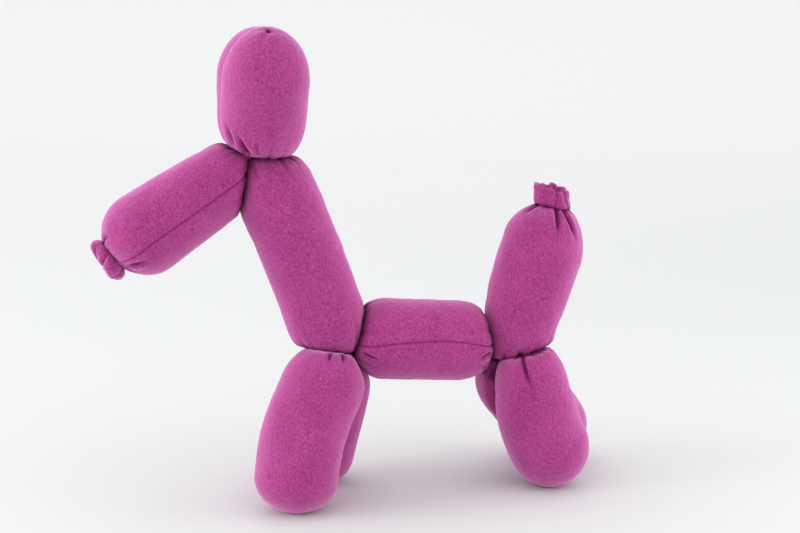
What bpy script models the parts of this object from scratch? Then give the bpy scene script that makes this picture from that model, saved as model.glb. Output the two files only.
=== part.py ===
"""Poodle sewn from stuffed fleece tubes, in the shape that a modelling balloon is twisted into.

Ten stuffed tubes meet at three sewn joints: the head, the shoulder and the hip. The toy faces -X,
its left side is -Y and +Z is up. Each tube is lofted along its own centre line, closed by a
rounded cap at each end, and pressed flat where it meets its neighbours and the ground.
"""
import math
from dataclasses import dataclass

import bmesh
import bpy
import numpy as np

# Places of the three joints
SHOULDER_HEIGHT = 0.0849
HIP_HEIGHT = 0.0829
BODY_SPAN = 0.0855
HEAD_RISE = 0.1205
HEAD_REACH = 0.0643

# Radii of the tubes
MUZZLE_RADIUS = 0.0218
EAR_RADIUS = 0.0248
NECK_RADIUS = 0.0240
BODY_RADIUS = 0.0245
FRONT_LEG_RADIUS = 0.0249
HIND_LEG_RADIUS = 0.0250
TAIL_RADIUS = 0.0252

# How much wider the muzzle is at its gathered end, as a share
MUZZLE_SWELL = 0.14

# Lengths of the straight runs that end free, between the middles of the two caps
MUZZLE_RUN = 0.0553
EAR_RUN = 0.0170
TAIL_RUN = 0.0462

# Rise of the free tubes and their gathered ends, in degrees from the level line to the nose
MUZZLE_RISE = -32.8
MUZZLE_TIP_RISE = -33.5
MUZZLE_RUFFLE_RISE = -42.0
EAR_RISE = 91.5
TAIL_RISE = 106.5
TAIL_TIP_RISE = 103.0
TAIL_RUFFLE_RISE = 92.0

# How far the ears spread from their sewn ends to their free ends, as a share of their radius
EAR_SPREAD = 0.35

# Places of the feet, from the joint above them: along the toy and to its side
LEFT_FRONT_STEP = (-0.0408, -0.0325)
RIGHT_FRONT_STEP = (-0.0240, 0.0230)
LEFT_HIND_STEP = (0.0312, -0.0100)
RIGHT_HIND_STEP = (0.0475, 0.0450)

# How far a foot is flattened by the ground
FOOT_PRESS = 0.0012

# Middle of each sewn cap, from its joint, as shares of the tube's own radius
MUZZLE_SEAT = (-0.64, 0.0, -0.66)
LEFT_EAR_SEAT = (0.36, -0.62, 1.06)
RIGHT_EAR_SEAT = (0.36, 0.62, 1.06)
NECK_TOP_SEAT = (0.72, 0.0, -0.97)
NECK_FOOT_SEAT = (-0.78, 0.0, 0.96)
BODY_FRONT_SEAT = (0.70, 0.0, 0.36)
BODY_BACK_SEAT = (-1.04, 0.0, 0.34)
LEFT_FRONT_SEAT = (-0.97, -0.60, -0.74)
RIGHT_FRONT_SEAT = (-0.61, 0.60, -0.98)
LEFT_HIND_SEAT = (0.82, -0.50, -0.86)
RIGHT_HIND_SEAT = (0.72, 0.60, -0.93)
TAIL_SEAT = (0.63, 0.0, 0.75)

# Bow of a centre line at its middle, as shares of the tube's own width
NECK_BOW = (0.03, 0.0, 0.01)
LEFT_FRONT_BOW = (-0.09, 0.0, 0.09)
LEFT_HIND_BOW = (-0.05, 0.0, 0.0)
TAIL_BOW = (-0.03, 0.0, 0.02)

# Gathered ends of the muzzle and the tail: the tied groove and the ruffle past it
MUZZLE_TIE_RADIUS = 0.0092
MUZZLE_RUFFLE_RADIUS = 0.0136
MUZZLE_RUFFLE_LENGTH = 0.0094
TAIL_TIE_RADIUS = 0.0100
TAIL_RUFFLE_RADIUS = 0.0118
TAIL_RUFFLE_LENGTH = 0.0130

# Clearance between two tubes that touch
JOINT_GAP = 0.0003

# Fineness of the solids
SIDES = 24
CAP_RINGS = 5
RUN_SPACING = 0.012

# Shape of a stuffed end, as shares of the tube's own radius
LONG_CAP = 1.33
ROUND_CAP = 1.0
BLUNT_CAP = 0.83
HEEL_CAP = 1.12
BODY_CAP = 1.15
TAIL_START_CAP = 1.40
TAIL_CAP = 1.14
MUZZLE_CAP = 1.06

# How full a sewn cap is: 2 for a plain ellipse, more for a blunt end, less for a pointed one
PLAIN_FULLNESS = 2.0
EAR_FULLNESS = 2.3

# How much narrower a tube is where it is sewn in, as a share
HIND_TAPER = 0.10
TAIL_TAPER = 0.11

# Contact of two tubes: how sharply a pressed face turns, and how far it leans to the side
PRESS_SHARPNESS = 20.0
SIDEWAYS_SHARE = 0.2

# How far the flat between the hind legs leans to the right as it goes down, in degrees
HIND_LEGS_LEAN = 25.0

# Each contact's turn in degrees and its shift as a share of the way between the two end middles
EAR_ON_MUZZLE = (-7.0, 0.02)
EAR_ON_NECK = (12.0, 0.01)
MUZZLE_ON_NECK = (-8.0, -0.13)
NECK_ON_LEG = (1.0, -0.06)
NECK_ON_BODY = (-5.0, 0.04)
BODY_ON_FRONT_LEG = (8.0, -0.03)
BODY_ON_TAIL = (4.0, -0.03)
TAIL_ON_LEG = (-8.0, -0.07)
BODY_ON_HIND_LEG = (-26.0, -0.05)

# Folds round a sewn or tied end: how many there are and how deep, as shares of the radius
PUCKERS = 6
PUCKER_DEPTH = 0.035
TIED_PUCKER_DEPTH = 0.08
PLEAT_DEPTH = 0.12

# Outline of a ruffle: share of its length, of its radius past the tie, and of its pleats' depth
RUFFLE_RINGS = ((0.22, 0.5, 0.6), (0.50, 1.0, 1.0), (0.80, 1.0, 1.0), (1.00, 0.7, 0.8))
DISH_RINGS = ((0.95, 0.66, 0.5), (0.75, 0.36, 0.0))
DISH_FLOOR = 0.65

FLEECE_COLOUR = (0.402, 0.061, 0.246, 1.0)
FLEECE_ROUGHNESS = 0.95


@dataclass
class Ruffle:
    """The gathered fabric past a tied end."""

    axis: np.ndarray
    tie_radius: float
    radius: float
    length: float


@dataclass
class Tube:
    """One stuffed tube, from the middle of its first cap to the middle of its last."""

    name: str
    radius: float
    start: np.ndarray
    end: np.ndarray
    bow: tuple = (0.0, 0.0, 0.0)
    start_cap: float = LONG_CAP
    start_fullness: float = PLAIN_FULLNESS
    end_cap: float = LONG_CAP
    swell: float = 0.0
    taper: float = 0.0
    tip: np.ndarray | None = None
    ruffle: Ruffle | None = None
    stands: bool = False


@dataclass
class Ring:
    """One ring of vertices: its middle on the centre line, its plane, offset, radius and folds."""

    middle: np.ndarray
    axis: np.ndarray
    past: np.ndarray
    radius: float
    fold: float


@dataclass
class Contact:
    """The flat between two sewn ends: how far it is turned, in degrees, and moved, as a share."""

    first: str
    first_end: str
    second: str
    second_end: str
    turn: float = 0.0
    shift: float = 0.0


@dataclass
class Wall:
    """A plane that a tube stays behind: points p with normal . p >= offset are free."""

    normal: np.ndarray
    offset: float


def point(x, y, z):
    """A place or a direction."""
    return np.array((x, y, z), dtype=float)


def unit(vector):
    """The same direction, of length one."""
    return vector / np.linalg.norm(vector)


def heading(rise):
    """A direction in the toy's middle plane, turned up from the level line to its nose."""
    angle = math.radians(rise)
    return point(-math.cos(angle), 0.0, math.sin(angle))


def foot(joint, step, cap):
    """The middle of a foot's cap, whose underside is pressed by the ground."""
    return point(joint[0] + step[0], joint[1] + step[1], cap - FOOT_PRESS)


def head_tubes(head):
    """The muzzle and the two ears, which end free."""
    start = head + MUZZLE_RADIUS * point(*MUZZLE_SEAT)
    muzzle = Tube("muzzle", MUZZLE_RADIUS, start, start + MUZZLE_RUN * heading(MUZZLE_RISE),
                  end_cap=MUZZLE_CAP, swell=MUZZLE_SWELL, tip=heading(MUZZLE_TIP_RISE))
    muzzle.ruffle = Ruffle(heading(MUZZLE_RUFFLE_RISE), MUZZLE_TIE_RADIUS,
                           MUZZLE_RUFFLE_RADIUS, MUZZLE_RUFFLE_LENGTH)
    ears = []
    for name, seat in (("left_ear", LEFT_EAR_SEAT), ("right_ear", RIGHT_EAR_SEAT)):
        start = head + EAR_RADIUS * point(*seat)
        spread = EAR_RADIUS * point(0.0, math.copysign(EAR_SPREAD, seat[1]), 0.0)
        ears.append(Tube(name, EAR_RADIUS, start, start + EAR_RUN * heading(EAR_RISE) + spread,
                         start_fullness=EAR_FULLNESS))
    return [muzzle, *ears]


def middle_tubes(head, shoulder, hip):
    """The neck and the body, each sewn in at both ends."""
    neck = Tube("neck", NECK_RADIUS, head + NECK_RADIUS * point(*NECK_TOP_SEAT),
                shoulder + NECK_RADIUS * point(*NECK_FOOT_SEAT), bow=NECK_BOW)
    body = Tube("body", BODY_RADIUS, shoulder + BODY_RADIUS * point(*BODY_FRONT_SEAT),
                hip + BODY_RADIUS * point(*BODY_BACK_SEAT),
                start_cap=ROUND_CAP, end_cap=BODY_CAP)
    return [neck, body]


def leg_tubes(shoulder, hip):
    """The four legs. The left ones stand nearly under the toy, the right ones are spread."""
    front = FRONT_LEG_RADIUS
    hind = HIND_LEG_RADIUS
    return [
        Tube("left_front_leg", front, shoulder + front * point(*LEFT_FRONT_SEAT),
             foot(shoulder, LEFT_FRONT_STEP, BLUNT_CAP * front),
             bow=LEFT_FRONT_BOW, end_cap=BLUNT_CAP, stands=True),
        Tube("right_front_leg", front, shoulder + front * point(*RIGHT_FRONT_SEAT),
             foot(shoulder, RIGHT_FRONT_STEP, BLUNT_CAP * front),
             end_cap=BLUNT_CAP, stands=True),
        Tube("left_hind_leg", hind, hip + hind * point(*LEFT_HIND_SEAT),
             foot(hip, LEFT_HIND_STEP, HEEL_CAP * hind),
             bow=LEFT_HIND_BOW, end_cap=HEEL_CAP, taper=HIND_TAPER, stands=True),
        Tube("right_hind_leg", hind, hip + hind * point(*RIGHT_HIND_SEAT),
             foot(hip, RIGHT_HIND_STEP, ROUND_CAP * hind),
             end_cap=ROUND_CAP, stands=True),
    ]


def tail_tube(hip):
    """The tail, whose gathered end stands nearly straight up."""
    start = hip + TAIL_RADIUS * point(*TAIL_SEAT)
    ruffle = Ruffle(heading(TAIL_RUFFLE_RISE), TAIL_TIE_RADIUS, TAIL_RUFFLE_RADIUS,
                    TAIL_RUFFLE_LENGTH)
    return Tube("tail", TAIL_RADIUS, start, start + TAIL_RUN * heading(TAIL_RISE),
                bow=TAIL_BOW, start_cap=TAIL_START_CAP, taper=TAIL_TAPER,
                end_cap=TAIL_CAP, tip=heading(TAIL_TIP_RISE), ruffle=ruffle)


def make_tubes():
    """The ten tubes, each hung on its joints by shares of its own radius."""
    shoulder = point(0.0, 0.0, SHOULDER_HEIGHT)
    hip = point(BODY_SPAN, 0.0, HIP_HEIGHT)
    head = shoulder + point(-HEAD_REACH, 0.0, HEAD_RISE)
    tubes = [*head_tubes(head), *middle_tubes(head, shoulder, hip), *leg_tubes(shoulder, hip),
             tail_tube(hip)]
    return {tube.name: tube for tube in tubes}


def make_contacts():
    """The flats between the tubes that are sewn in at each joint."""
    contacts = [
        Contact("left_ear", "start", "right_ear", "start"),
        Contact("muzzle", "start", "neck", "start", *MUZZLE_ON_NECK),
        Contact("neck", "end", "body", "start", *NECK_ON_BODY),
        Contact("left_front_leg", "start", "right_front_leg", "start"),
        Contact("body", "end", "tail", "start", *BODY_ON_TAIL),
        Contact("left_hind_leg", "start", "right_hind_leg", "start", HIND_LEGS_LEAN),
    ]
    for side in ("left_", "right_"):
        contacts += [
            Contact(side + "ear", "start", "muzzle", "start", *EAR_ON_MUZZLE),
            Contact(side + "ear", "start", "neck", "start", *EAR_ON_NECK),
            Contact("neck", "end", side + "front_leg", "start", *NECK_ON_LEG),
            Contact("body", "start", side + "front_leg", "start", *BODY_ON_FRONT_LEG),
            Contact("tail", "start", side + "hind_leg", "start", *TAIL_ON_LEG),
            Contact("body", "end", side + "hind_leg", "start", *BODY_ON_HIND_LEG),
        ]
    return contacts


def turned(line, degrees):
    """A line turned in the toy's middle plane, from its nose upwards to its tail."""
    angle = math.radians(degrees)
    return point(line[0] * math.cos(angle) + line[2] * math.sin(angle), line[1],
                 line[2] * math.cos(angle) - line[0] * math.sin(angle))


def leaned(line, degrees):
    """A line turned in the plane across the toy, from its right side upwards."""
    angle = math.radians(degrees)
    return point(line[0], line[1] * math.cos(angle) - line[2] * math.sin(angle),
                 line[2] * math.cos(angle) + line[1] * math.sin(angle))


def press_walls(tubes):
    """The planes of all contacts, half a gap clear on both sides.

    A plane parts the line between two end middles by the two radii and its own shift. Where a
    side tube meets a middle one, the plane leans sideways only by a share of that line. Between
    a left and a right tube, the contact's turn leans it to the side.
    """
    walls = {name: [] for name in tubes}
    for contact in make_contacts():
        first_tube, second_tube = tubes[contact.first], tubes[contact.second]
        first = getattr(first_tube, contact.first_end)
        line = getattr(second_tube, contact.second_end) - first
        share = first_tube.radius / (first_tube.radius + second_tube.radius) + contact.shift
        if first[1] * (first + line)[1] < 0.0:
            across = leaned(line, contact.turn)
        else:
            across = turned(line * point(1.0, SIDEWAYS_SHARE, 1.0), contact.turn)
        normal = unit(across)
        level = normal @ (first + share * line)
        walls[contact.first].append(Wall(-normal, -level + JOINT_GAP / 2))
        walls[contact.second].append(Wall(normal, level + JOINT_GAP / 2))
    return walls


def centre_line(tube, along):
    """Place and direction of the centre line, a parabola through the bowed middle."""
    handle = (tube.start + tube.end) / 2 + 2 * tube.radius * point(*tube.bow)
    place = (1 - along) ** 2 * tube.start + 2 * along * (1 - along) * handle + along ** 2 * tube.end
    slope = (1 - along) * (handle - tube.start) + along * (tube.end - handle)
    return place, unit(slope)


def start_rings(tube):
    """The pole and the rings of the first cap, to just before the straight run."""
    middle, axis = centre_line(tube, 0.0)
    pole = -tube.start_cap * tube.radius * axis
    radius = tube.radius * (1 - tube.taper)
    power = 2.0 / tube.start_fullness
    rings = []
    for step in range(CAP_RINGS):
        angle = (step + 1) * math.pi / 2 / (CAP_RINGS + 1)
        past = math.cos(angle) ** power * pole
        fold = PUCKER_DEPTH * math.cos(angle)
        rings.append(Ring(middle, axis, past, radius * math.sin(angle) ** power, fold))
    return rings, pole


def run_rings(tube):
    """The straight or bowed run between the two caps."""
    pieces = max(2, round(np.linalg.norm(tube.end - tube.start) / RUN_SPACING))
    rings = []
    for step in range(pieces + 1):
        along = step / pieces
        middle, axis = centre_line(tube, along)
        radius = tube.radius * (1 + tube.swell * along) * (1 - tube.taper * (1 - along) ** 3)
        rings.append(Ring(middle, axis, point(0.0, 0.0, 0.0), radius, 0.0))
    return rings


def end_rings(tube):
    """The rings and the pole of the plain last cap."""
    middle, axis = centre_line(tube, 1.0)
    pole = tube.end_cap * tube.radius * axis
    depth = 0.0 if tube.stands else PUCKER_DEPTH
    rings = []
    for step in range(CAP_RINGS):
        angle = math.pi / 2 * (1 - (step + 1) / (CAP_RINGS + 1))
        past = math.cos(angle) * pole
        rings.append(Ring(middle, axis, past, tube.radius * math.sin(angle), depth * math.cos(angle)))
    return rings, pole


def ruffle_rings(tube):
    """The last cap drawn in to its tie, the ruffle that flares past it and its dished middle."""
    middle, axis = centre_line(tube, 1.0)
    ruffle = tube.ruffle
    radius = tube.radius * (1 + tube.swell)
    tied_angle = math.asin(ruffle.tie_radius / radius)
    rings = []
    for step in range(1, CAP_RINGS + 1):
        share = step / CAP_RINGS
        angle = math.pi / 2 + (tied_angle - math.pi / 2) * share
        past = tube.end_cap * tube.radius * math.cos(angle) * tube.tip
        fold = TIED_PUCKER_DEPTH * math.cos(angle)
        plane = unit(axis + share * (ruffle.axis - axis))
        rings.append(Ring(middle, plane, past, radius * math.sin(angle), fold))
    tie = rings[-1].past
    flare = ruffle.radius - ruffle.tie_radius
    for height, spread, depth in RUFFLE_RINGS:
        rings.append(Ring(middle, ruffle.axis, tie + height * ruffle.length * ruffle.axis,
                          ruffle.tie_radius + spread * flare, depth * PLEAT_DEPTH))
    for height, spread, depth in DISH_RINGS:
        rings.append(Ring(middle, ruffle.axis, tie + height * ruffle.length * ruffle.axis,
                          spread * ruffle.radius, depth * PLEAT_DEPTH))
    return rings, tie + DISH_FLOOR * ruffle.length * ruffle.axis


def pressed(tube, walls, middle, reach):
    """Shorten each reach from the middle so that it ends behind every wall.

    The share kept is (1 + sum of (1 / share to each wall) ^ sharpness) ^ (-1 / sharpness), a
    smooth form of the least of them. The ground cuts without that rounding and leaves a flat.
    """
    crowding = np.ones(len(reach))
    for wall in walls:
        room = wall.offset - wall.normal @ middle
        crowding += np.clip(reach @ wall.normal / room, 0.0, None) ** PRESS_SHARPNESS
    kept = crowding ** (-1.0 / PRESS_SHARPNESS)
    if tube.stands:
        downward = np.minimum(reach[:, 2], -JOINT_GAP)
        kept = np.minimum(kept, -middle[2] / downward)
    return middle + reach * kept[:, None]


def loft(tube, walls):
    """Vertices and faces of one closed tube, ring by ring, with a pole at each end."""
    first, root = start_rings(tube)
    last, tip = end_rings(tube) if tube.ruffle is None else ruffle_rings(tube)
    rings = [*first, *run_rings(tube), *last]
    turn = np.arange(SIDES) * 2 * math.pi / SIDES
    folds = 0.5 - 0.5 * np.cos(PUCKERS * turn)
    outward = point(0.0, -1.0, 0.0)

    vertices = [pressed(tube, walls, first[0].middle, root[None, :])]
    for ring in rings:
        side = unit(outward - ring.axis * (outward @ ring.axis))
        across = np.cross(ring.axis, side)
        spread = ring.radius * (1 - ring.fold * folds)
        circle = np.cos(turn)[:, None] * side + np.sin(turn)[:, None] * across
        vertices.append(pressed(tube, walls, ring.middle, spread[:, None] * circle + ring.past))
    vertices.append(pressed(tube, walls, last[-1].middle, tip[None, :]))

    end_pole = len(rings) * SIDES + 1
    faces = []
    for side in range(SIDES):
        beside = (side + 1) % SIDES
        faces.append((0, 1 + beside, 1 + side))
        for low in range(1, end_pole - SIDES, SIDES):
            high = low + SIDES
            faces.append((low + side, low + beside, high + beside, high + side))
        faces.append((end_pole - SIDES + side, end_pole - SIDES + beside, end_pole))
    return np.concatenate(vertices), faces


def fleece(name):
    """The brushed fabric of one tube."""
    material = bpy.data.materials.new(name + "_fleece")
    material.use_nodes = True
    shader = material.node_tree.nodes["Principled BSDF"]
    shader.inputs["Base Color"].default_value = FLEECE_COLOUR
    shader.inputs["Roughness"].default_value = FLEECE_ROUGHNESS
    shader.inputs["Metallic"].default_value = 0.0
    return material


def place_solid(name, vertices, faces):
    """One named object, smooth shaded, with its faces pointing out."""
    mesh = bpy.data.meshes.new(name)
    mesh.from_pydata(vertices.tolist(), [], faces)
    work = bmesh.new()
    work.from_mesh(mesh)
    bmesh.ops.recalc_face_normals(work, faces=work.faces)
    work.to_mesh(mesh)
    work.free()
    mesh.shade_smooth()
    mesh.materials.append(fleece(name))
    solid = bpy.data.objects.new(name, mesh)
    bpy.context.scene.collection.objects.link(solid)


def main():
    """Build every tube, then stand the toy on the ground round the origin."""
    for old in list(bpy.data.objects):
        bpy.data.objects.remove(old, do_unlink=True)
    tubes = make_tubes()
    walls = press_walls(tubes)
    shapes = {name: loft(tube, walls[name]) for name, tube in tubes.items()}
    everything = np.concatenate([vertices for vertices, faces in shapes.values()])
    middle = (everything.min(axis=0) + everything.max(axis=0)) / 2
    middle[2] = 0.0
    for name, (vertices, faces) in shapes.items():
        place_solid(name, vertices - middle, faces)


main()
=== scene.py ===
"""The looks of the poodle sewn from stuffed fleece tubes.

Ten tubes of brushed fleece meet at three sewn joints. Each tube is one closed surface of two
parameters: the length along its outline and the turn round it. Cloth simulation fills it, then
its seam, gathers, creases and nap are worked into the surface. Metres, +Z up, the toy faces -X.
"""

import logging
import math
from dataclasses import dataclass, field
from enum import Enum

import bpy
import numpy as np
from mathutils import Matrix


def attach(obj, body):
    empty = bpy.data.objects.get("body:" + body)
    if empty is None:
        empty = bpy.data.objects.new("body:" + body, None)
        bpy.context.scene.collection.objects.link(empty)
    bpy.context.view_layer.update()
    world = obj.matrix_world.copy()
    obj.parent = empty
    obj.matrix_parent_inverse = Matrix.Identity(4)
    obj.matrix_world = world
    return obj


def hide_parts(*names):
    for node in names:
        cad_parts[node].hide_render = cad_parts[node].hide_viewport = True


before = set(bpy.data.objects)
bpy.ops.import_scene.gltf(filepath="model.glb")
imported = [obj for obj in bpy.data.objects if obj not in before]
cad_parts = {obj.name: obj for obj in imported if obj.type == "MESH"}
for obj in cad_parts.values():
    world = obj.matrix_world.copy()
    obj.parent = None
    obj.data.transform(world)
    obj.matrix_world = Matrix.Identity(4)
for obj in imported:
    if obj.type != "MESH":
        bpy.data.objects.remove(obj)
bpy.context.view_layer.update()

log = logging.getLogger("poodle")

Array = np.ndarray


def point(x: float, y: float, z: float) -> Array:
    """Return a place or a direction."""
    return np.array((x, y, z), dtype=float)


def unit(vectors: Array) -> Array:
    """Return the same directions with length one, along the last axis."""
    return vectors / np.linalg.norm(vectors, axis=-1, keepdims=True)


def heading(rise: float) -> Array:
    """Return a direction in the toy's middle plane, in degrees up from the level line to its nose."""
    return point(-math.cos(math.radians(rise)), 0.0, math.sin(math.radians(rise)))


def turned(line: Array, degrees: float) -> Array:
    """Return a line turned in the toy's middle plane, from its nose upwards to its tail."""
    cosine, sine = math.cos(math.radians(degrees)), math.sin(math.radians(degrees))
    return point(line[0] * cosine + line[2] * sine, line[1], line[2] * cosine - line[0] * sine)


def leaned(line: Array, degrees: float) -> Array:
    """Return a line turned in the plane across the toy, from its right side upwards."""
    cosine, sine = math.cos(math.radians(degrees)), math.sin(math.radians(degrees))
    return point(line[0], line[1] * cosine - line[2] * sine, line[2] * cosine + line[1] * sine)


def eased(share: Array) -> Array:
    """Return the share kept within 0 to 1 and eased at both ends: 3 s^2 - 2 s^3."""
    share = np.clip(share, 0.0, 1.0)
    return share * share * (3.0 - 2.0 * share)


def wrapped(angle: Array) -> Array:
    """Return the angle brought within half a turn of zero."""
    return (angle + math.pi) % (2.0 * math.pi) - math.pi


def curve_through(values: Array, place: Array) -> Array:
    """Read a Catmull-Rom curve through rows of values.

    Between two rows the curve is the cubic that passes both, with the slope at each row taken from
    its two neighbours. The first and last rows are repeated past the ends.

    Args:
        values: One row for each knot of the curve.
        place: Row numbers, whole or not.

    Returns:
        One row of values for each place.
    """
    low = np.clip(np.floor(place).astype(int), 0, len(values) - 2)
    part = (place - low).reshape((-1,) + (1,) * (values.ndim - 1))
    before = values[np.maximum(low - 1, 0)]
    first, second = values[low], values[low + 1]
    after = values[np.minimum(low + 2, len(values) - 1)]
    bend = 2 * before - 5 * first + 4 * second - after
    twist = 3 * (first - second) + after - before
    return first + 0.5 * part * (second - before + part * (bend + part * twist))


def lattice_noise(places: Array, spacing: float, seed: int) -> Array:
    """Return smooth noise within -1 to 1.

    Every corner of a cubic lattice has a random value hashed from its whole-number place. A value
    between them is the blend of the eight corners, eased along each axis.

    Args:
        places: Points, along the last axis.
        spacing: Size of the lattice in metres.
        seed: Number that picks another pattern.

    Returns:
        One value for each point.
    """
    scaled = places / spacing
    cell = np.floor(scaled).astype(np.int64)
    part = eased(scaled - cell)
    total = np.zeros(places.shape[:-1])
    for corner in np.ndindex(2, 2, 2):
        where = cell + np.array(corner)
        mixed = where[..., 0] * 73856093 ^ where[..., 1] * 19349663 ^ where[..., 2] * 83492791
        mixed = ((mixed + seed * 2654435761) & 0xFFFFFFFF) * 1274126177 & 0xFFFFFFFF
        mixed = ((mixed >> 15) ^ mixed) * 2246822519 & 0xFFFFFFFF
        value = ((mixed >> 13) & 0xFFFF) / 32767.5 - 1.0
        weight = np.prod(np.where(np.array(corner) == 1, part, 1.0 - part), axis=-1)
        total += weight * value
    return total


def layered_noise(places: Array, layers: tuple[tuple[float, float, int], ...],
                  seed: int = 0) -> Array:
    """Return the sum of several smooth noises.

    Args:
        places: Points, along the last axis.
        layers: For each noise its height, its spacing in metres and what it adds to the seed.
        seed: Number that picks another pattern.

    Returns:
        One height for each point.
    """
    return sum(height * lattice_noise(places, spacing, seed + more)
               for height, spacing, more in layers)


class Ending(Enum):
    """How one end of a tube is closed."""

    SEWN = "gathered and sewn into a joint"
    ROUND = "gathered and turned in, ending free"
    FOOT = "closed and standing on the ground"
    TIED = "drawn in by thread, with a ruffle past it"


@dataclass(frozen=True)
class Wall:
    """A plane between two tubes: points p with normal . p below offset are free."""

    normal: Array
    offset: float


@dataclass
class Sheet:
    """A tube's surface on a grid of rows along it and columns round it.

    Attributes:
        station: For each row, 0 to 1 on the first cap, 1 to 2 on the run, 2 to 3 on the last cap
            and 3 to 4 on the ruffle.
        along: Length of the outline from the first pole to each row.
        girth: Radius of each row before it is pressed.
        turn: Angle of each column from the near side.
        points: The surface itself.
        poles: The two end points.
        near: Distance of each point to the nearest wall.
    """

    station: Array
    along: Array
    girth: Array
    turn: Array
    points: Array
    poles: Array
    near: Array

    def normals(self) -> Array:
        """Return outward directions: the cross product of the two grid directions at each point."""
        padded = np.concatenate((self.poles[:1, None].repeat(len(self.turn), 1), self.points,
                                 self.poles[1:, None].repeat(len(self.turn), 1)))
        down = padded[2:] - padded[:-2]
        across = np.roll(self.points, -1, axis=1) - np.roll(self.points, 1, axis=1)
        return unit(np.cross(across, down) + 1e-15)

    def raise_by(self, height: Array) -> None:
        """Move every point along its normal, and each pole with the mean of the ring beside it."""
        shift = self.normals() * height[..., None]
        self.points = self.points + shift
        self.poles = self.poles + np.stack((shift[0].mean(axis=0), shift[-1].mean(axis=0)))


@dataclass(frozen=True)
class Crease:
    """A fold pressed into the fleece along a short path.

    Attributes:
        start: Length along the tube in metres and turn round it in degrees, at the deep end.
        end: The same where the fold runs out.
        depth: Depth of the valley.
        width: Half width of the valley.
        opening: Share of the depth that the fold has at its very start.
    """

    start: tuple[float, float]
    end: tuple[float, float]
    depth: float = 0.0012
    width: float = 0.0013
    opening: float = 1.0

    def relief(self, sheet: Sheet) -> Array:
        """Return the fold's height over the sheet.

        With d the distance to the path, the valley is -depth * exp(-(d / width)^2) and each bank
        is a third as high, 1.9 widths away. The fold runs out by easing over the last two thirds.
        """
        ahead = sheet.along[:, None] - self.start[0]
        aside = wrapped(sheet.turn - math.radians(self.start[1])) * sheet.girth[:, None]
        reach = self.end[0] - self.start[0]
        drift = math.radians(self.end[1] - self.start[1]) * sheet.girth[:, None]
        share = np.clip((ahead * reach + aside * drift) / (reach ** 2 + drift ** 2), 0.0, 1.0)
        distance = np.hypot(ahead - share * reach, aside - share * drift)
        strength = self.opening + (1.0 - self.opening) * eased(share / 0.25)
        strength = strength * (1.0 - eased((share - 0.33) / 0.67))
        valley = np.exp(-(distance / self.width) ** 2)
        bank = np.exp(-((distance - 1.9 * self.width) / self.width) ** 2)
        return self.depth * strength * (0.33 * bank - valley)


@dataclass(frozen=True)
class Seam:
    """The joining line of a tube's fleece, turned in and sewn from inside.

    Attributes:
        turns: Turn of the seam in degrees at even shares of its length.
        span: Where it starts and ends, as shares of the tube's whole outline.
        depth: Depth of the groove.
        width: Half width of the groove.
        stitch: Distance between two stitches, which pull the groove in a little.
    """

    turns: tuple[float, ...]
    span: tuple[float, float] = (0.03, 0.97)
    depth: float = 0.0008
    width: float = 0.00065
    stitch: float = 0.0031

    def relief(self, sheet: Sheet) -> Array:
        """Return the groove's height over the sheet.

        With d the distance round the tube to the seam's line, the groove is
        -depth * exp(-(d / width)^2) and its soft banks are a quarter as high and three times as
        wide, all of it eased in and out over a twelfth of the seam and pulled by the stitches.
        """
        share = (sheet.along / sheet.along[-1] - self.span[0]) / (self.span[1] - self.span[0])
        knots = np.radians(np.array(self.turns))
        place = np.clip(share, 0.0, 1.0) * (len(knots) - 1)
        line = curve_through(knots, place)
        distance = np.abs(wrapped(sheet.turn - line[:, None])) * sheet.girth[:, None]
        ends = (eased(share / 0.08) * eased((1.0 - share) / 0.08))[:, None]
        pull = 1.0 + 0.22 * np.cos(2.0 * math.pi * sheet.along / self.stitch)[:, None]
        groove = np.exp(-(distance / self.width) ** 2) * pull
        bank = np.exp(-((distance - 3.0 * self.width) / (1.7 * self.width)) ** 2)
        return self.depth * ends * (0.25 * bank - groove)


@dataclass(frozen=True)
class Gathers:
    """The small folds that radiate from a sewn end, deepest where the tube meets its neighbours.

    Attributes:
        seed: Number that picks their places.
        count: How many there are round the tube.
        depth: Depth of the deepest.
        reach: How far from the neighbour's wall they run out.
    """

    seed: int
    count: int = 13
    depth: float = 0.0008
    reach: float = 0.0062

    def relief(self, sheet: Sheet, closeness: Array) -> Array:
        """Return the folds' height over the sheet.

        Each fold has its own turn, width, depth and reach, and is the product of a bell across it
        and a bell of the distance to the neighbour.

        Args:
            sheet: The tube's surface.
            closeness: Distance of each point from the seat that gathers the fabric.

        Returns:
            Height of each point.
        """
        draw = np.random.default_rng(self.seed)
        height = np.zeros_like(closeness)
        for index in range(self.count):
            turn = 2.0 * math.pi * (index + draw.uniform(-0.3, 0.3)) / self.count
            width = draw.uniform(0.0011, 0.0020)
            depth = self.depth * draw.uniform(0.25, 1.0)
            reach = self.reach * draw.uniform(0.5, 1.4)
            lean = draw.uniform(-0.35, 0.35)
            aside = wrapped(sheet.turn - turn - lean * closeness / 0.02) * sheet.girth[:, None]
            bell = np.exp(-(closeness / reach) ** 2)
            valley = np.exp(-(aside / width) ** 2)
            bank = np.exp(-((np.abs(aside) - 2.0 * width) / (1.2 * width)) ** 2)
            height += depth * bell * (0.2 * bank - valley)
        return height


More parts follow.
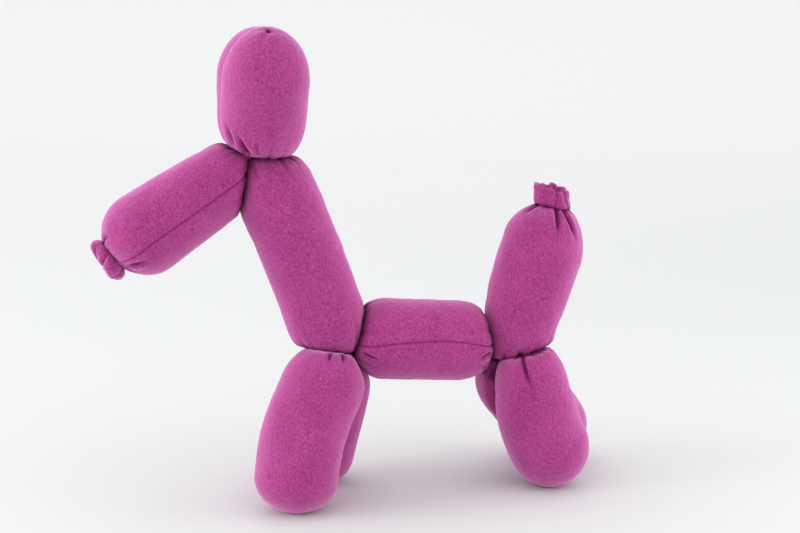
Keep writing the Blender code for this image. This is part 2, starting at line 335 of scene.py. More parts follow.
@dataclass(frozen=True)
class Ruffle:
    """The gathered fabric past a tied end.

    Attributes:
        rise: Direction that its rings lie across, in degrees.
        lean: Direction in which it stands, in degrees.
        tie_radius: Radius of the groove that the thread draws in.
        radius: Radius of the rim.
        length: From the groove to the rim.
        seed: Number that picks how the pleats differ.
        profile: Rows of height, share of the flare and depth of the pleats, from the groove over
            the rim to the middle. Below zero, the flare is the way in to the axis.
        valleys: Turn in degrees and strength of each fold between two pleats.
        tilt: How much lower the rim stands at the near side and a quarter turn on, as shares.
    """

    rise: float
    lean: float
    tie_radius: float
    radius: float
    length: float
    seed: int
    profile: tuple[tuple[float, float, float], ...]
    valleys: tuple[tuple[float, float], ...]
    tilt: tuple[float, float] = (0.0, 0.0)

    def lobes(self, turn: Array) -> tuple[Array, Array]:
        """Return how full the pleats are at each turn, and which pleat each turn is in.

        Between two valleys a pleat is an arch, 1 - (1 - q)^2 with q the share of the way from the
        nearer valley to the pleat's middle, raised to 0.55 so that the lobes touch and the valleys
        are thin, and weighed by the valley's strength.
        """
        edges, strengths = np.array(self.valleys).T
        order = np.argsort(edges % 360.0)
        edges, strengths = np.radians(edges % 360.0)[order], strengths[order]
        turn = turn % (2.0 * math.pi)
        index = np.searchsorted(edges, turn, side="right") % len(edges)
        low = edges[index - 1]
        width = (edges[index] - low) % (2.0 * math.pi)
        share = ((turn - low) % (2.0 * math.pi)) / width
        arch = np.maximum(1.0 - (2.0 * share - 1.0) ** 2, 0.0) ** 0.55
        nearer = np.where(share < 0.5, index - 1, index)
        return 1.0 - strengths[nearer] * (1.0 - arch), index


BUN = (
    (0.00, 0.00, 0.04), (0.06, 0.55, 0.10), (0.24, 0.95, 0.13), (0.45, 1.05, 0.15),
    (0.66, 0.90, 0.17), (0.85, 0.50, 0.20), (0.98, 0.00, 0.26), (1.02, -0.45, 0.28),
    (0.96, -0.85, 0.30), (0.88, -1.25, 0.26), (0.86, -1.60, 0.16), (0.86, -1.90, 0.05),
)

BAG = (
    (0.00, 0.00, 0.05), (0.10, 1.00, 0.14), (0.30, 1.45, 0.19), (0.56, 1.20, 0.20),
    (0.78, 1.05, 0.20), (0.93, 0.80, 0.22), (1.00, 0.40, 0.26), (0.95, -0.10, 0.32),
    (0.80, -0.40, 0.38), (0.64, -0.80, 0.42), (0.58, -1.35, 0.34), (0.60, -1.90, 0.12),
)


@dataclass
class Tube:
    """One stuffed fleece tube.

    Attributes:
        name: Its CAD node, and the first word of its piece.
        radius: Radius of the run.
        start: Middle of the first cap.
        end: Middle of the last cap.
        bow: How far the middle of the run leans out, as shares of the radius.
        start_cap: Length of the first cap as a share of the radius.
        start_fullness: 2 for a plain ellipse, more for a blunt cap, less for a pointed one.
        end_cap: Length of the last cap as a share of the radius.
        swell: How much wider the run is at its last end, as a share.
        taper: How much narrower the run is at its first end, as a share.
        start_ending: How the first end is closed.
        end_ending: How the last end is closed.
        tip_rise: Direction of a tied end, in degrees.
        ruffle: The gathered fabric past a tied end.
        seam: The joining line.
        creases: Folds at their own places.
        seed: Number that picks its gathers and unevenness.
        walls: The planes that part it from its neighbours.
    """

    PRESS_SHARPNESS = 20.0
    FLOOR_CLEARANCE = 0.0003
    LUMPS = ((0.00042, 0.021, 0), (0.00022, 0.009, 40))
    NAP = ((0.00010, 0.0016, 7), (0.00008, 0.0033, 8))
    CRUMPLE = ((0.0007, 0.0042, 1), (0.0004, 0.0023, 2))
    RUFFLE_SWAY = 0.22
    RUFFLE_UNEVEN = 0.07
    RUFFLE_STAND = (-0.10, 0.08)
    VALLEY_DROP = 0.16
    DISH_NARROWING = 0.53
    FREE_END_GATHERS = 8
    # Painted shade, which darkens the colour: the fold depth that gets the most, and the most it gets
    # in a fold, near a neighbour's wall, in the pleats' valleys and in the dish.
    FULL_FOLD = 0.0014
    FULL_FOLD_PAINTED_SHADE = 0.9
    CROWDED_WIDTH = 0.0023
    CROWDED_PAINTED_SHADE = 0.95
    LEG_RELEASE = 0.02
    TIE_WIDTH = 0.0018
    PLEAT_PAINTED_SHADE = 0.7
    DISH_PAINTED_SHADE = 0.6

    name: str
    radius: float
    start: Array
    end: Array
    bow: tuple[float, float, float] = (0.0, 0.0, 0.0)
    start_cap: float = 1.33
    start_fullness: float = 2.0
    end_cap: float = 1.33
    swell: float = 0.0
    taper: float = 0.0
    start_ending: Ending = Ending.SEWN
    end_ending: Ending = Ending.ROUND
    tip_rise: float = 0.0
    ruffle: Ruffle | None = None
    seam: Seam = Seam((180.0, 180.0))
    creases: tuple[Crease, ...] = ()
    seed: int = 1
    walls: list[Wall] = field(default_factory=list)

    def centre_line(self, share: Array) -> tuple[Array, Array]:
        """Return places and directions of the centre line, a parabola through the bowed middle."""
        handle = (self.start + self.end) / 2 + 2 * self.radius * point(*self.bow)
        share = share[:, None]
        place = (1 - share) ** 2 * self.start + 2 * share * (1 - share) * handle
        slope = (1 - share) * (handle - self.start) + share * (self.end - handle)
        return place + share ** 2 * self.end, unit(slope)

    def outline(self, station: Array) -> tuple[Array, Array, Array, Array]:
        """Work out the rings of the tube at some stations.

        The first cap is a quarter ellipse, angle 0 at the pole: the ring's radius goes with the
        sine and its distance past the cap's middle with the cosine, both raised to a power for
        its fullness. The last cap is the same turned round, a plain ellipse. A tied one stops at
        the angle whose sine gives the thread's radius, where the ruffle carries on.

        Args:
            station: 0 to 1 on the first cap, to 2 on the run, to 3 on the last cap.

        Returns:
            Middles, planes' axes, offsets past the middles, and radii of the rings.
        """
        opened = np.clip(station, 0.0, 1.0) * math.pi / 2
        run = np.clip(station - 1.0, 0.0, 1.0)
        last = np.clip(station - 2.0, 0.0, 1.0)
        middle, axis = self.centre_line(run)
        first_axis, last_axis = axis[0], axis[-1]
        full = self.radius * (1.0 + self.swell * run) * (1.0 - self.taper * (1.0 - run) ** 3)
        if self.ruffle is None:
            closed = (1.0 - last) * math.pi / 2
            tip = last_axis
        else:
            tied = math.asin(self.ruffle.tie_radius / (self.radius * (1.0 + self.swell)))
            closed = math.pi / 2 + (tied - math.pi / 2) * last
            tip = heading(self.tip_rise)
            axis = unit(axis + last[:, None] * (heading(self.ruffle.rise) - last_axis))
        past = np.cos(closed)[:, None] * self.end_cap * self.radius * tip
        power = 2.0 / self.start_fullness
        opening = np.maximum(np.cos(opened), 0.0) ** power
        past = past - opening[:, None] * self.start_cap * self.radius * first_axis
        radius = full * np.sin(opened) ** power * np.sin(closed)
        return middle, axis, past, radius

    def stations(self, spacing: float) -> tuple[Array, Array]:
        """Space rows evenly along the outline.

        The outline's length is summed over a fine run of stations, from the steps of the ring's
        middle and of its radius, and read back at even lengths.

        Args:
            spacing: Distance between rows in metres.

        Returns:
            Station and length along the outline of each row, without the poles.
        """
        fine = np.linspace(0.0, 3.0, 1201)
        middle, _, past, radius = self.outline(fine)
        steps = np.linalg.norm(np.diff(middle + past, axis=0), axis=1)
        length = np.concatenate(([0.0], np.cumsum(np.hypot(steps, np.diff(radius)))))
        count = round(length[-1] / spacing)
        ends = (1, count - 1) if self.ruffle is None else (1, count)
        along = np.arange(ends[0], ends[1] + 1) * length[-1] / count
        return np.interp(along, length, fine), along

    def pressed(self, middle: Array, reach: Array) -> Array:
        """Shorten each reach from its ring's middle so that it ends behind every wall.

        The share kept is (1 + sum of (1 / share to each wall) ^ sharpness) ^ (-1 / sharpness), a
        smooth form of the least of them. The ground cuts without that rounding.

        Args:
            middle: Middles of the rings, one for each row.
            reach: Vectors from the middle, one for each point.

        Returns:
            The points.
        """
        middle = middle[:, None, :]
        crowding = np.ones(reach.shape[:2])
        for wall in self.walls:
            room = wall.offset - middle @ wall.normal
            crowding += np.clip(reach @ wall.normal / room, 0.0, None) ** self.PRESS_SHARPNESS
        kept = crowding ** (-1.0 / self.PRESS_SHARPNESS)
        if self.end_ending is Ending.FOOT:
            downward = np.minimum(reach[..., 2], -self.FLOOR_CLEARANCE)
            kept = np.minimum(kept, -middle[..., 2] / downward)
        return middle + reach * kept[..., None]

    def wall_distance(self, points: Array) -> Array:
        """Return the distance from each point to the nearest wall, or a metre where there is none."""
        distance = np.ones(points.shape[:-1])
        for wall in self.walls:
            distance = np.minimum(distance, wall.offset - points @ wall.normal)
        return distance

    def ruffle_rows(self, spacing: float, turn: Array) -> tuple[Array, Array, Array, Array]:
        """Work out the ruffle past the tied end.

        Its outline runs through the rows of its profile. Each ring's radius shrinks by the pleats'
        depth where they are empty, each pleat has its own height and fullness, the deep folds
        lean round as they go in, and soft noise crumples the whole.

        Args:
            spacing: Distance between rows in metres.
            turn: Angle of each column.

        Returns:
            Points, end pole, length past the tie and radius of each row.
        """
        ruffle = self.ruffle
        middle, _, past, _ = self.outline(np.array((0.0, 3.0)))
        tie, up = middle[-1] + past[-1], heading(ruffle.rise)
        place = np.linspace(0.0, len(ruffle.profile) - 1.0, 400)
        height, flare, depth = curve_through(np.array(ruffle.profile), place).T
        spread = ruffle.tie_radius + flare * (ruffle.radius - ruffle.tie_radius)
        inward = ruffle.tie_radius * (1.0 + self.DISH_NARROWING * flare)
        spread = np.where(flare < 0.0, inward, spread)
        steps = np.hypot(np.diff(height) * ruffle.length, np.diff(spread))
        length = np.concatenate(([0.0], np.cumsum(steps)))
        along = np.arange(1, round(length[-1] / spacing)) * spacing
        height, spread, depth = (np.interp(along, length, v)[:, None] for v in (height, spread, depth))
        share = (along / length[-1])[:, None]

        draw = np.random.default_rng(ruffle.seed)
        round_and_in = np.broadcast_arrays(np.cos(turn) * 1.3, np.sin(turn) * 1.3, share * 3.0)
        sway = lattice_noise(np.stack(round_and_in, axis=-1), 1.0, ruffle.seed)
        lobe, index = ruffle.lobes(turn + self.RUFFLE_SWAY * sway)
        uneven = draw.uniform(-self.RUFFLE_UNEVEN, self.RUFFLE_UNEVEN, len(ruffle.valleys))
        fullness = lobe * uneven[index]
        stand = draw.uniform(*self.RUFFLE_STAND, len(ruffle.valleys))[index]
        rim = eased(share / 0.35)
        spread = spread * (1.0 - depth * (1.0 - lobe) + fullness * rim)
        height = height + rim * (stand * lobe - self.VALLEY_DROP * (1.0 - lobe) * height)
        lower = ruffle.tilt[0] * np.cos(turn) + ruffle.tilt[1] * np.sin(turn)
        height = height * (1.0 - rim * lower)
        circle = self.circle(up[None, :], turn)
        stem = ruffle.length * heading(ruffle.lean)
        points = tie + height[..., None] * stem + spread[..., None] * circle
        crumple = rim * layered_noise(points, self.CRUMPLE, ruffle.seed)
        points = points + crumple[..., None] * unit(circle + up)
        return points, points[-1].mean(axis=0), along, spread.mean(axis=1)

    @staticmethod
    def circle(axis: Array, turn: Array) -> Array:
        """Return the unit circle in the plane across each axis, starting on the near side."""
        outward = point(0.0, -1.0, 0.0)
        side = unit(outward - axis * (axis @ outward)[:, None])
        across = np.cross(axis, side)
        return (np.cos(turn)[None, :, None] * side[:, None, :]
                + np.sin(turn)[None, :, None] * across[:, None, :])

    def sheet(self, spacing: float, sides: int) -> Sheet:
        """Build the plain surface of the tube.

        Args:
            spacing: Distance between rows in metres.
            sides: Points round each row.

        Returns:
            The sheet, pressed by its neighbours and the ground.
        """
        station, along = self.stations(spacing)
        turn = np.arange(sides) * 2.0 * math.pi / sides
        middle, axis, past, radius = self.outline(station)
        reach = radius[:, None, None] * self.circle(axis, turn) + past[:, None, :]
        points = self.pressed(middle, reach)
        ends, _, end_past, _ = self.outline(np.array((0.0, 3.0)))
        poles = self.pressed(ends, end_past[:, None, :])[:, 0]
        if self.ruffle is not None:
            more, tip, more_along, more_girth = self.ruffle_rows(spacing, turn)
            points = np.concatenate((points, more))
            poles = np.stack((poles[0], tip))
            station = np.concatenate((station, 3.0 + more_along / more_along[-1]))
            along = np.concatenate((along, along[-1] + more_along))
            radius = np.concatenate((radius, more_girth))
        return Sheet(station, along, radius, turn, points, poles, self.wall_distance(points))

    def dress(self, sheet: Sheet) -> Array:
        """Work the seam, gathers, creases, unevenness and nap into the surface, and find its painted
        shade.

        Args:
            sheet: The tube's surface, which is changed in place.

        Returns:
            How much painted shade each point gets, from 0 to 1: in its folds, near a neighbour's wall
            and at a tied end, with the poles first and last.
        """
        girth = np.minimum(1.0, sheet.girth / self.radius)[:, None]
        sheet.raise_by(layered_noise(sheet.points, self.LUMPS, self.seed) * girth)

        folds = self.seam.relief(sheet)
        for crease in self.creases:
            folds = folds + crease.relief(sheet)
        station = sheet.station[:, None]
        near = self.seat_distance(sheet)
        if self.start_ending is Ending.SEWN:
            seat = np.where(station < 1.5, near, 1.0)
            folds = folds + Gathers(self.seed).relief(sheet, seat)
        if self.end_ending is Ending.SEWN:
            seat = np.where(station > 1.5, near, 1.0)
            folds = folds + Gathers(self.seed + 1).relief(sheet, seat)
        if self.end_ending is Ending.ROUND:
            seat = np.broadcast_to((sheet.along[-1] - sheet.along)[:, None], near.shape)
            folds = folds + Gathers(self.seed + 2, self.FREE_END_GATHERS).relief(sheet, seat)
        sheet.raise_by(folds)

        sheet.raise_by(layered_noise(sheet.points, self.NAP))
        self.keep_clear(sheet)
        # Painted shade: darker colour in the folds, close to a neighbour's wall and at a tied end.
        painted_contact_shade = np.exp(-(np.maximum(near, 0.0) / self.CROWDED_WIDTH) ** 2)
        depth = np.clip(-folds / self.FULL_FOLD, 0.0, self.FULL_FOLD_PAINTED_SHADE)
        if self.ruffle is not None:
            depth = np.maximum(depth, self.tied_painted_shade(sheet))
        depth = np.maximum(depth, self.CROWDED_PAINTED_SHADE * painted_contact_shade)
        return np.concatenate((depth[0].mean(keepdims=True), depth.ravel(),
                               depth[-1].mean(keepdims=True)))

    def seat_distance(self, sheet: Sheet) -> Array:
        """Return each point's distance to a wall, made larger down a leg from its sewn end."""
        if self.end_ending is not Ending.FOOT:
            return sheet.near
        return sheet.near + self.LEG_RELEASE * eased((sheet.station - 0.3) / 0.5)[:, None]

    def tied_painted_shade(self, sheet: Sheet) -> Array:
        """Return the painted shade in the tied groove, in a pleat's valleys and in the dish."""
        tie = sheet.along[np.searchsorted(sheet.station, 3.0)]
        groove = np.exp(-((sheet.along - tie) / self.TIE_WIDTH) ** 2)[:, None]
        lobe, _ = self.ruffle.lobes(sheet.turn)
        beyond = eased((sheet.station[:, None] - 3.0) / 0.15)
        dish = eased((sheet.station[:, None] - 3.55) / 0.3)
        pleats = self.PLEAT_PAINTED_SHADE * beyond * (1.0 - lobe) ** 3
        return np.clip(groove + pleats + self.DISH_PAINTED_SHADE * dish, 0.0, 1.0)

    def keep_clear(self, sheet: Sheet) -> None:
        """Bring points that the relief pushed past a wall or the ground straight back to it."""
        rows = sheet.station < 3.0
        points = sheet.points[rows]
        for wall in self.walls:
            over = points @ wall.normal - wall.offset
            points = points - np.maximum(over, 0.0)[..., None] * wall.normal
        sheet.points[rows] = points
        if self.end_ending is Ending.FOOT:
            sheet.points[..., 2] = np.maximum(sheet.points[..., 2], 0.0)
            sheet.poles[:, 2] = np.maximum(sheet.poles[:, 2], 0.0)


def resampled(values: Array, sheet: Sheet, target: Sheet) -> Array:
    """Carry values from one sheet of a tube to a finer one, along smooth curves both ways.

    Args:
        values: One row of numbers for each point of the first sheet.
        sheet: The sheet that the values belong to.
        target: The finer sheet.

    Returns:
        The values at the finer sheet's points.
    """
    rows = np.interp(target.along, sheet.along, np.arange(len(sheet.along)))
    tall = curve_through(values, rows).swapaxes(0, 1)
    ring = np.concatenate((tall[-2:], tall, tall[:3]))
    columns = target.turn / (2.0 * math.pi) * len(sheet.turn) + 2.0
    return curve_through(ring, columns).swapaxes(0, 1)


def closed_mesh(name: str, points: Array, poles: Array) -> bpy.types.Mesh:
    """Make a mesh of a grid: a fan at each pole and four-sided faces between the rings."""
    rows, sides = points.shape[:2]
    ring = 1 + np.arange(rows * sides).reshape(rows, sides)
    beside = np.roll(ring, -1, axis=1)
    quads = np.stack((ring[:-1], beside[:-1], beside[1:], ring[1:]), axis=-1).reshape(-1, 4)
    first = np.stack((np.zeros(sides, int), beside[0], ring[0]), axis=-1)
    last = np.stack((ring[-1], beside[-1], np.full(sides, rows * sides + 1)), axis=-1)
    vertices = np.concatenate((poles[:1], points.reshape(-1, 3), poles[1:]))
    mesh = bpy.data.meshes.new(name)
    mesh.from_pydata(vertices.tolist(), [], [*first.tolist(), *quads.tolist(), *last.tolist()])
    mesh.shade_smooth()
    return mesh


def placed(name: str, mesh: bpy.types.Mesh) -> bpy.types.Object:
    """Put a mesh in the scene as an object at the origin."""
    piece = bpy.data.objects.new(name, mesh)
    bpy.context.scene.collection.objects.link(piece)
    return piece


@dataclass(frozen=True)
class Filling:
    """The stuffing's pressure on the cloth, found by simulation on a coarse sheet.

    Attributes:
        pressure: Outward pressure of the cloth's own filling.
        frames: Steps of the simulation.
        limit: The furthest that a point may move.
        slack: How much narrower the sheet starts.
        spacing: Distance between the coarse sheet's rows.
        sides: Points round each coarse row.
        quality: Steps of the solver in each frame.
        weight: Mass of the cloth at each of its points, in kilograms.
        stretch_stiffness: How hard the cloth is to stretch or to press together.
        shear_stiffness: How hard it is to pull askew.
        bend_stiffness: How hard it is to bend.
        held_within: Distance from a wall at which a point begins to come free, and over what more.
        foot_within: The same for the height over the ground.
    """

    pressure: float = 4.0
    frames: int = 20
    limit: float = 0.0016
    slack: float = 0.0006
    spacing: float = 0.0032
    sides: int = 48
    quality: int = 6
    weight: float = 0.25
    stretch_stiffness: float = 12.0
    shear_stiffness: float = 6.0
    bend_stiffness: float = 1.2
    held_within: tuple[float, float] = (0.001, 0.006)
    foot_within: tuple[float, float] = (0.001, 0.005)

    def held(self, tube: Tube, sheet: Sheet) -> Array:
        """Return how firmly each point is held: 1 where it is sewn, tied or stood on, else 0."""
        start, over = self.held_within
        firm = 1.0 - eased((sheet.near - start) / over)
        if tube.end_ending is Ending.FOOT:
            start, over = self.foot_within
            firm = np.maximum(firm, 1.0 - eased((sheet.points[..., 2] - start) / over))
        if tube.ruffle is not None:
            firm = np.maximum(firm, eased((sheet.station - 2.7) / 0.2)[:, None])
        return firm

    def cloth(self, tube: Tube, sheet: Sheet) -> bpy.types.Object:
        """Make the coarse sheet an object with the Cloth modifier on it."""
        name = tube.name + "_cloth"
        piece = placed(name, closed_mesh(name, sheet.points, sheet.poles))
        group = piece.vertex_groups.new(name="held")
        firm = self.held(tube, sheet)
        firm = np.concatenate(([firm[0].max()], firm.ravel(), [firm[-1].max()]))
        for level in np.unique(np.round(firm, 1)):
            chosen = np.flatnonzero(np.round(firm, 1) == level).tolist()
            group.add(chosen, float(level), "REPLACE")
        modifier = piece.modifiers.new("Cloth", "CLOTH")
        modifier.point_cache.frame_start = 1
        modifier.point_cache.frame_end = self.frames
        settings = modifier.settings
        settings.vertex_group_mass = group.name
        settings.use_pressure = True
        settings.uniform_pressure_force = self.pressure
        settings.effector_weights.gravity = 0.0
        settings.quality = self.quality
        settings.mass = self.weight
        settings.tension_stiffness = self.stretch_stiffness
        settings.compression_stiffness = self.stretch_stiffness
        settings.shear_stiffness = self.shear_stiffness
        settings.bending_stiffness = self.bend_stiffness
        return piece

    def settle(self, tubes: list[Tube], sheets: list[Sheet]) -> None:
        """Run the simulation for all the tubes at once and carry the result to their fine sheets.

        The movement of each coarse point is limited, then read along smooth curves at every fine
        point and added to it, fading out towards the end of the last cap.

        Args:
            tubes: The tubes.
            sheets: Their fine sheets, which are changed in place.
        """
        coarse = [tube.sheet(self.spacing, self.sides) for tube in tubes]
        starts = []
        pieces = []
        for tube, sheet in zip(tubes, coarse):
            free = 1.0 - self.held(tube, sheet)
            sheet.raise_by(-self.slack * free)
            starts.append(sheet.points.copy())
            pieces.append(self.cloth(tube, sheet))
        scene = bpy.context.scene
        for step in range(1, self.frames + 1):
            scene.frame_set(step)
        graph = bpy.context.evaluated_depsgraph_get()
        for tube, sheet, start, piece, fine in zip(tubes, coarse, starts, pieces, sheets):
            swollen = piece.evaluated_get(graph).data
            flat = np.empty(len(swollen.vertices) * 3)
            swollen.vertices.foreach_get("co", flat)
            moved = flat.reshape(-1, 3)[1:-1].reshape(start.shape) - start
            distance = np.linalg.norm(moved, axis=-1, keepdims=True)
            moved = moved * np.minimum(1.0, self.limit / np.maximum(distance, 1e-9))
            log.info("%s: filled, moved %.2f mm at most", tube.name, distance.max() * 1000)
            moved = resampled(moved, sheet, fine)
            ruffled = eased((3.0 - fine.station) / 0.3)[:, None, None]
            fine.points = fine.points + moved * ruffled
            bpy.data.objects.remove(piece, do_unlink=True)
        scene.frame_set(1)


@dataclass(frozen=True)
class Fleece:
    """Brushed polyester fleece: a matte, mottled nap that glows a little at its edges.

    Attributes:
        name: Name of the material.
        dark: Darker shade of the nap.
        light: Lighter shade of the nap.
        rim: Painted highlight colour where the cloth turns away from the eye, standing in for the
            light that glows at its edges.
        painted_rim_highlight_share: How much of that painted highlight mixes in at the very edge.
        fold: Painted shade colour deep in folds, where tubes press together and at the tied ends.
        roughness: Roughness of the surface.
        sheen: Strength of the glow at the edges.
        sheen_roughness: How wide that glow is.
        sheen_tint: Its colour.
        grain: Features for each metre of the nap's grain.
        tuft: The same for its finer tufts.
        cloud: The same for its broad clouds.
        stretch: How the pattern is scaled along each axis.
        nap_height: Height of the bump.
    """

    name: str = "magenta_fleece"
    dark: tuple[float, float, float] = (0.245, 0.019, 0.130)
    light: tuple[float, float, float] = (0.435, 0.064, 0.260)
    rim: tuple[float, float, float] = (0.68, 0.18, 0.47)
    painted_rim_highlight_share: float = 0.45
    fold: tuple[float, float, float] = (0.115, 0.004, 0.052)
    roughness: float = 0.95
    sheen: float = 1.0
    sheen_roughness: float = 0.42
    sheen_tint: tuple[float, float, float] = (1.0, 0.43, 0.83)
    grain: float = 900.0
    tuft: float = 2200.0
    cloud: float = 60.0
    stretch: tuple[float, float, float] = (1.0, 1.0, 0.72)
    nap_height: float = 0.00045

    def material(self) -> bpy.types.Material:
        """Build the material.

        Three noises in Object coordinates mix a darker and a lighter shade: the nap's grain, finer
        tufts and broad clouds. Where the cloth turns away from the eye, a painted highlight of a
        paler colour mixes in, standing in for the light that glows at its edges. The fold attribute
        mixes in a painted shade deep in folds and where tubes touch, and takes the sheen away
        there. Grain and tufts also raise a small bump.
        """
        material = bpy.data.materials.new(self.name)
        material.use_nodes = True
        maker = Nodes(material.node_tree)
        shader = material.node_tree.nodes["Principled BSDF"]
        shader.inputs["Roughness"].default_value = self.roughness
        shader.inputs["Sheen Roughness"].default_value = self.sheen_roughness
        shader.inputs["Sheen Tint"].default_value = (*self.sheen_tint, 1.0)
        shader.inputs["Specular IOR Level"].default_value = 0.15
        places = maker.object_places(self.stretch)
        grain = maker.noise(places, self.grain, 3.0, 0.62)
        tuft = maker.noise(places, self.tuft, 2.0, 0.5)
        cloud = maker.noise(places, self.cloud, 3.0, 0.55)
        nap = maker.blend_values(grain, tuft, 0.4)
        tone = maker.blend_values(nap, cloud, 0.15)
        colour = maker.ramp(tone, ((0.40, self.dark), (0.60, self.light)))
        # Painted highlight: a paler colour mixed in where the surface turns away from the eye.
        colour = maker.mix_colours(maker.rim(self.painted_rim_highlight_share), colour, self.rim)
        # Painted shade: the fold attribute darkens the colour and takes the sheen away.
        fold = maker.attribute("fold")
        maker.link(maker.mix_colours(fold, colour, self.fold), shader.inputs["Base Color"])
        maker.link(maker.faded(self.sheen, fold), shader.inputs["Sheen Weight"])
        maker.link(maker.bump(nap, 0.9, self.nap_height), shader.inputs["Normal"])
        return material


class Nodes:
    """Shorthand for the shader nodes that the finishes are made of."""

    def __init__(self, tree: bpy.types.NodeTree) -> None:
        """Keep the tree that the nodes go into."""
        self.tree = tree

    def add(self, kind: str) -> bpy.types.Node:
        """Add one node of a kind."""
        return self.tree.nodes.new(kind)

    def link(self, output: bpy.types.NodeSocket, target: bpy.types.NodeSocket) -> None:
        """Join an output to an input."""
        self.tree.links.new(output, target)

    def object_places(self, stretch: tuple[float, float, float]) -> bpy.types.NodeSocket:
        """Return Object coordinates, stretched along each axis."""
        mapping = self.add("ShaderNodeMapping")
        mapping.inputs["Scale"].default_value = stretch
        self.link(self.add("ShaderNodeTexCoord").outputs["Object"], mapping.inputs["Vector"])
        return mapping.outputs["Vector"]

    def noise(self, places: bpy.types.NodeSocket, scale: float, detail: float,
              roughness: float) -> bpy.types.NodeSocket:
        """Return noise of a scale, in features for each metre."""
        node = self.add("ShaderNodeTexNoise")
        node.inputs["Scale"].default_value = scale
        node.inputs["Detail"].default_value = detail
        node.inputs["Roughness"].default_value = roughness
        self.link(places, node.inputs["Vector"])
        return node.outputs["Fac"]

    def blend_values(self, first: bpy.types.NodeSocket, second: bpy.types.NodeSocket,
                     share: float) -> bpy.types.NodeSocket:
        """Return the first value with a share of the second in its place."""
        node = self.add("ShaderNodeMix")
        node.inputs["Factor"].default_value = share
        self.link(first, node.inputs["A"])
        self.link(second, node.inputs["B"])
        return node.outputs["Result"]

    def ramp(self, value: bpy.types.NodeSocket,
             stops: tuple[tuple[float, tuple[float, float, float]], ...]) -> bpy.types.NodeSocket:
        """Return colours read from a ramp of two stops."""
        node = self.add("ShaderNodeValToRGB")
        for element, (position, colour) in zip(node.color_ramp.elements, stops):
            element.position = position
            element.color = (*colour, 1.0)
        self.link(value, node.inputs["Fac"])
        return node.outputs["Color"]

    def rim(self, share: float) -> bpy.types.NodeSocket:
        """Return how far the surface turns away from the eye, to the power 1.5, times a share: the
        mask of the painted rim highlight.
        """
        layer = self.add("ShaderNodeLayerWeight")
        power, times = self.add("ShaderNodeMath"), self.add("ShaderNodeMath")
        layer.inputs["Blend"].default_value = 0.5
        power.operation, times.operation = "POWER", "MULTIPLY"
        self.link(layer.outputs["Facing"], power.inputs[0])
        power.inputs[1].default_value = 1.5
        self.link(power.outputs[0], times.inputs[0])
        times.inputs[1].default_value = share
        return times.outputs[0]

    def faded(self, value: float, amount: bpy.types.NodeSocket) -> bpy.types.NodeSocket:
        """Return a value less that share of it that an amount from 0 to 1 takes away."""
        node = self.add("ShaderNodeMath")
        node.operation = "MULTIPLY_ADD"
        self.link(amount, node.inputs[0])
        node.inputs[1].default_value = -value
        node.inputs[2].default_value = value
        return node.outputs[0]

    def attribute(self, name: str) -> bpy.types.NodeSocket:
        """Return the value of a mesh attribute."""
        node = self.add("ShaderNodeAttribute")
        node.attribute_name = name
        return node.outputs["Fac"]

    def mix_colours(self, factor: bpy.types.NodeSocket, first: bpy.types.NodeSocket,
                    second: tuple[float, float, float]) -> bpy.types.NodeSocket:
        """Return the first colour with the second mixed in by a factor."""
        node = self.add("ShaderNodeMix")
        node.data_type = "RGBA"
        self.link(factor, node.inputs["Factor"])
        self.link(first, node.inputs["A"])
        node.inputs["B"].default_value = (*second, 1.0)
        return node.outputs["Result"]

    def bump(self, height: bpy.types.NodeSocket, strength: float,
             distance: float) -> bpy.types.NodeSocket:
        """Return normals bent by a height."""
        node = self.add("ShaderNodeBump")
        node.inputs["Strength"].default_value = strength
        node.inputs["Distance"].default_value = distance
        self.link(height, node.inputs["Height"])
        return node.outputs["Normal"]


@dataclass(frozen=True)
class Skeleton:
    """The three sewn joints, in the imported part's frame.

    Attributes:
        shoulder: Place of the shoulder.
        hip_height: Height of the hip.
        body_span: From the shoulder back to the hip.
        head_rise: From the shoulder up to the head.
        head_reach: From the shoulder forward to the head.
        foot_press: How much of each foot the ground presses flat.
    """

    shoulder: tuple[float, float, float] = (-0.0003526, -0.0064567, 0.0849)
    hip_height: float = 0.0829
    body_span: float = 0.0855
    head_rise: float = 0.1205
    head_reach: float = 0.0643
    foot_press: float = 0.0012

    def shoulder_joint(self) -> Array:
        """Return the shoulder's place."""
        return point(*self.shoulder)

    def hip_joint(self) -> Array:
        """Return the hip's place."""
        return point(self.shoulder[0] + self.body_span, self.shoulder[1], self.hip_height)

    def head_joint(self) -> Array:
        """Return the head's place."""
        return self.shoulder_joint() + point(-self.head_reach, 0.0, self.head_rise)

    def foot(self, joint: Array, step: tuple[float, float], cap: float) -> Array:
        """Return the middle of a foot's cap, whose underside is pressed by the ground."""
        return point(joint[0] + step[0], joint[1] + step[1], cap - self.foot_press)


